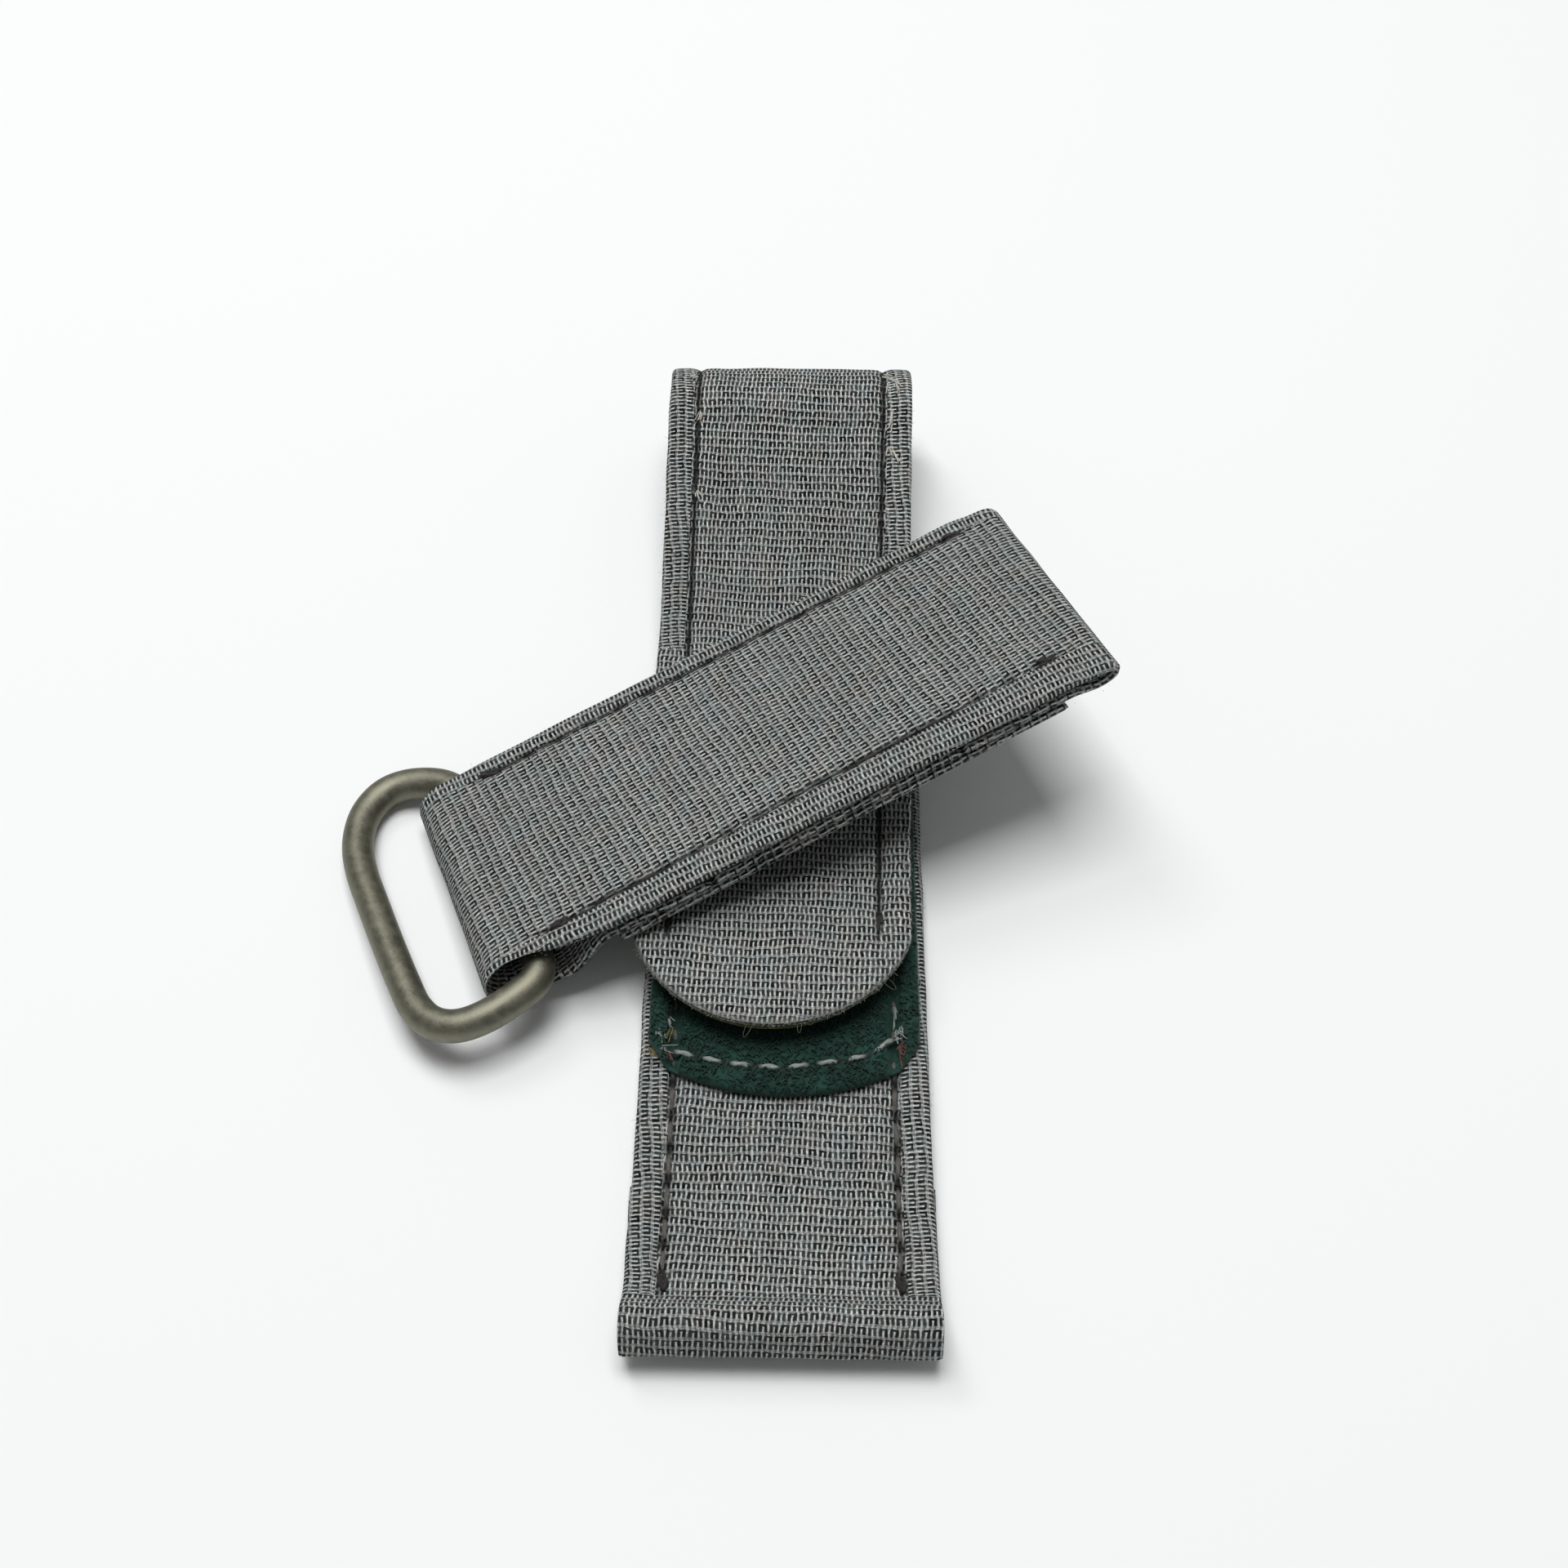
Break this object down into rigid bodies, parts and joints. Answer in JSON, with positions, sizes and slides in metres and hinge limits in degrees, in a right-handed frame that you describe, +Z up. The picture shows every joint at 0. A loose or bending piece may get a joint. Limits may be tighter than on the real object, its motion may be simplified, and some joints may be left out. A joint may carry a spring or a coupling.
{
  "type": "canvas watch strap",
  "caption": "Grey canvas hook-and-loop watch strap in two parts: a long part folded back over its pile panel, and a short part with a loose gunmetal ring lying across it.",
  "frame": {"origin": "on the flat under side of the long part's lining, on its middle line, where the part rests on the table", "axes": "+Z up off the table, +Y along the long part from its bar tunnel towards its fold, +X across it towards the short part's lug end"},
  "size_m": [0.0637, 0.0949, 0.0186],
  "materials": {
    "canvas": "mid grey plain-weave canvas, matt",
    "hook_tape": "olive hook tape with short stiff hooks",
    "pile": "dark green looped pile",
    "stiffener": "undyed inner cloth, hidden between the plies",
    "dark_thread": "dark grey-brown sewing thread",
    "pale_thread": "light grey sewing thread",
    "gunmetal": "satin gunmetal plating on round steel wire"
  },
  "bodies": {
    "flap": {"flap_lining_canvas": "canvas", "flap_face_canvas": "canvas", "hook_panel": "hook_tape", "flap_seam_left": "dark_thread", "flap_seam_right": "dark_thread", "fold_lining_canvas": "canvas", "fold_face_canvas": "canvas", "fold_seam_left": "dark_thread", "fold_seam_right": "dark_thread"},
    "lower_strap": {"lower_face_canvas": "canvas", "lower_stiffener": "stiffener", "lower_lining_canvas": "canvas", "pile_panel": "pile", "lower_seam_left": "dark_thread", "lower_seam_right": "dark_thread", "pile_end_seam": "pale_thread"},
    "short_strap": {"short_face_canvas": "canvas", "short_filler": "stiffener", "short_lining_canvas": "canvas", "short_seam_near": "dark_thread", "short_seam_far": "dark_thread"},
    "ring": {"ring": "gunmetal"}
  },
  "joints": [
    {"name": "flap_fold", "type": "hinge", "parent": "flap", "child": "lower_strap", "pos_m": [0, 0.0424, 0.0061], "axis": [1, 0, 0], "range_deg": [0, 180], "deforming": ["fold_lining_canvas", "fold_face_canvas", "fold_seam_left", "fold_seam_right"]},
    {"name": "short_strap_lift", "type": "slide", "parent": "flap", "child": "short_strap", "axis": [0, 0, 1], "range_m": [0, 0.03]},
    {"name": "ring_swing", "type": "hinge", "parent": "short_strap", "child": "ring", "pos_m": [-0.02327, -0.01217, 0.00352], "axis": [-0.4048, 0.9085, -0.1035], "range_deg": [-90, 110]}
  ]
}
